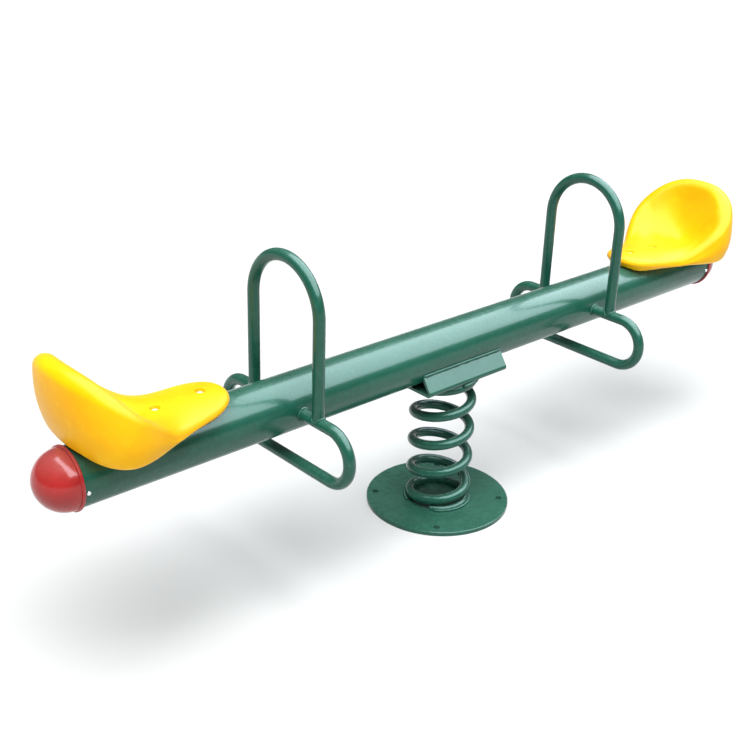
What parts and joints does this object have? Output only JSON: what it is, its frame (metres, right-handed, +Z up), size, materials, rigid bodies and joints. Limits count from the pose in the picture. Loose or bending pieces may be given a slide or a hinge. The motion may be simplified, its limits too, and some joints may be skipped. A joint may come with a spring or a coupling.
{
  "type": "spring seesaw",
  "caption": "Two-seat playground seesaw: a level steel tube on one coil spring and a round base plate, with handle hoops, footrest loops, bucket seats and domed end caps.",
  "frame": {"origin": "on the ground, at the centre of the base plate's underside, under the spring's axis", "axes": "+X along the beam towards the right seat, +Y across the beam, +Z up"},
  "size_m": [2.406, 0.5068, 0.8584],
  "materials": {
    "green_paint": "dark green gloss powder coat over steel",
    "yellow_plastic": "yellow rotomoulded polyethylene, semi-gloss with a fine moulded grain",
    "red_plastic": "red moulded plastic, semi-gloss",
    "zinc_steel": "zinc-plated steel",
    "rivet_aluminium": "plain aluminium blind rivet"
  },
  "bodies": {
    "base": {"base_plate": "green_paint"},
    "spring": {"coil_spring": "green_paint"},
    "beam": {"saddle": "green_paint", "beam_tube": "green_paint", "left_footrest": "green_paint", "left_handle_hoop": "green_paint", "left_end_cap": "red_plastic", "left_cap_rivets": "rivet_aluminium", "left_seat": "yellow_plastic", "left_seat_bolts": "zinc_steel", "left_seat_washers": "zinc_steel", "left_rivet_nuts": "zinc_steel", "right_footrest": "green_paint", "right_handle_hoop": "green_paint", "right_end_cap": "red_plastic", "right_cap_rivets": "rivet_aluminium", "right_seat": "yellow_plastic", "right_seat_bolts": "zinc_steel", "right_seat_washers": "zinc_steel", "right_rivet_nuts": "zinc_steel"}
  },
  "joints": [
    {"name": "sway", "type": "hinge", "parent": "base", "child": "spring", "pos_m": [0, 0, 0.203], "axis": [1, 0, 0], "range_deg": [-5, 5], "stiffness_Nm_per_rad": 2400, "deforming": ["coil_spring"]},
    {"name": "rock", "type": "hinge", "parent": "spring", "child": "beam", "pos_m": [0, 0, 0.203], "axis": [0, 1, 0], "range_deg": [-15, 15], "stiffness_Nm_per_rad": 2400, "deforming": ["coil_spring"]}
  ]
}
